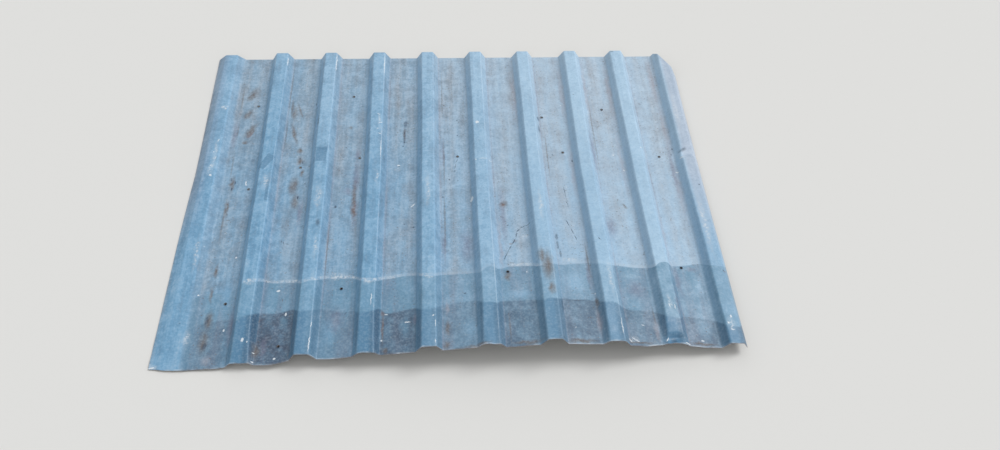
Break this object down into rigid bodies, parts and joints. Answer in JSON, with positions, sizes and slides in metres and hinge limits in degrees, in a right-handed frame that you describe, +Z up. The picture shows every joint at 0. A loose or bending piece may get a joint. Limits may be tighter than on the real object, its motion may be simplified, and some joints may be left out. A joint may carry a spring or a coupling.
{
  "type": "corrugated metal sheet",
  "caption": "Weathered, painted steel roofing sheet with flat-topped ribs, nail holes and a bent, trodden front edge.",
  "frame": {"origin": "middle of the sheet's outline, on the floor under the pans", "axes": "+X across the ribs to the right, +Y along the ribs to the back edge, +Z up from the floor"},
  "size_m": [1.0681, 0.8, 0.065],
  "materials": {
    "weathered_blue_paint": "matt, faded and dusty, with scuffs and dirt"
  },
  "bodies": {
    "root": {"profiled_sheet": "weathered_blue_paint"}
  },
  "joints": []
}
